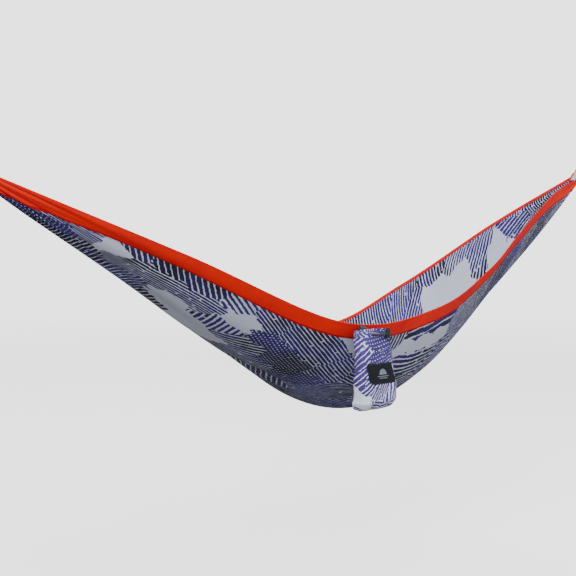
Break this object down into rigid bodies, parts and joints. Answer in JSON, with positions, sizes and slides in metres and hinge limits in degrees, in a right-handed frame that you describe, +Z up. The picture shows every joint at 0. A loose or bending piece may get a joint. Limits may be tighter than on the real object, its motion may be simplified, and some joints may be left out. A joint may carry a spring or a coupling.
{
  "type": "camping hammock",
  "caption": "Gathered-end cloth camping hammock with red edge bands, rope loops, two carabiners and a stuff sack on one edge.",
  "frame": {"origin": "midway between the two hang points, which are the inner faces of the carabiners' outer bars where the tree straps bear", "axes": "+X from the left hang point to the right one, -Y towards the side the stuff sack hangs on, +Z up"},
  "size_m": [3.1552, 0.9004, 0.8679],
  "materials": {
    "print": "light grey-lilac ripstop nylon with an indigo brush-stroke print, soft sheen",
    "red_edge": "bright red ripstop nylon, stitched",
    "gathered_cloth": "the bed's cloth bunched into folds",
    "rope": "black braided nylon rope",
    "alloy": "satin forged alloy",
    "steel": "bright steel pins and springs",
    "webbing": "black woven tape",
    "label": "black woven patch with a plain stitched border",
    "moulded": "black moulded acetal",
    "drawcord": "black braided cord",
    "loop": "grey braided cord"
  },
  "bodies": {
    "hammock": {"main_panel": "print", "near_edge_band": "red_edge", "far_edge_band": "red_edge", "sack_tab": "webbing", "left_gathered_end": "gathered_cloth", "left_end_rope": "rope", "left_rope_whipping": "rope", "right_gathered_end": "gathered_cloth", "right_end_rope": "rope", "right_rope_whipping": "rope"},
    "stuff_sack": {"sack_shell": "print", "sack_hem": "print", "sack_label": "label", "sack_side_loop": "loop", "sack_drawcord_upper": "drawcord", "sack_drawcord_lower": "drawcord", "sack_drawcord_knot": "drawcord"},
    "cord_lock": {"cord_lock_body": "moulded", "cord_lock_spring": "steel"},
    "cord_lock_button": {"cord_lock_button": "moulded"},
    "left_carabiner": {"left_carabiner_body": "alloy", "left_gate_rivet": "steel"},
    "left_gate": {"left_carabiner_gate": "alloy", "left_latch_pin": "steel", "left_gate_plunger": "steel", "left_gate_spring": "steel"},
    "right_carabiner": {"right_carabiner_body": "alloy", "right_gate_rivet": "steel"},
    "right_gate": {"right_carabiner_gate": "alloy", "right_latch_pin": "steel", "right_gate_plunger": "steel", "right_gate_spring": "steel"}
  },
  "joints": [
    {"name": "left_carabiner_swing", "type": "hinge", "parent": "hammock", "child": "left_carabiner", "pos_m": [-1.51904, 0, -0.0224], "axis": [0, -1, 0], "range_deg": [-50, 75]},
    {"name": "left_gate_hinge", "type": "hinge", "parent": "left_carabiner", "child": "left_gate", "pos_m": [-1.51995, 0, -0.00542], "axis": [0, -1, 0], "range_deg": [0, 25], "stiffness_Nm_per_rad": 0.4, "springref_deg": -11.46},
    {"name": "right_carabiner_swing", "type": "hinge", "parent": "hammock", "child": "right_carabiner", "pos_m": [1.51904, 0, -0.0224], "axis": [0, 1, 0], "range_deg": [-50, 75]},
    {"name": "right_gate_hinge", "type": "hinge", "parent": "right_carabiner", "child": "right_gate", "pos_m": [1.51995, 0, -0.00542], "axis": [0, 1, 0], "range_deg": [0, 25], "stiffness_Nm_per_rad": 0.4, "springref_deg": -11.46},
    {"name": "sack_swing", "type": "hinge", "parent": "hammock", "child": "stuff_sack", "pos_m": [-0.39644, -0.39181, -0.52411], "axis": [-1, 0, 0], "range_deg": [0, 90]},
    {"name": "cord_lock_slide", "type": "slide", "parent": "stuff_sack", "child": "cord_lock", "axis": [-1, 0, 0], "range_m": [0, 0.028]},
    {"name": "cord_lock_press", "type": "slide", "parent": "cord_lock", "child": "cord_lock_button", "axis": [0, 0, -1], "range_m": [0, 0.004], "stiffness_N_per_m": 700, "springref_m": -0.001, "deforming": ["cord_lock_spring"]}
  ]
}
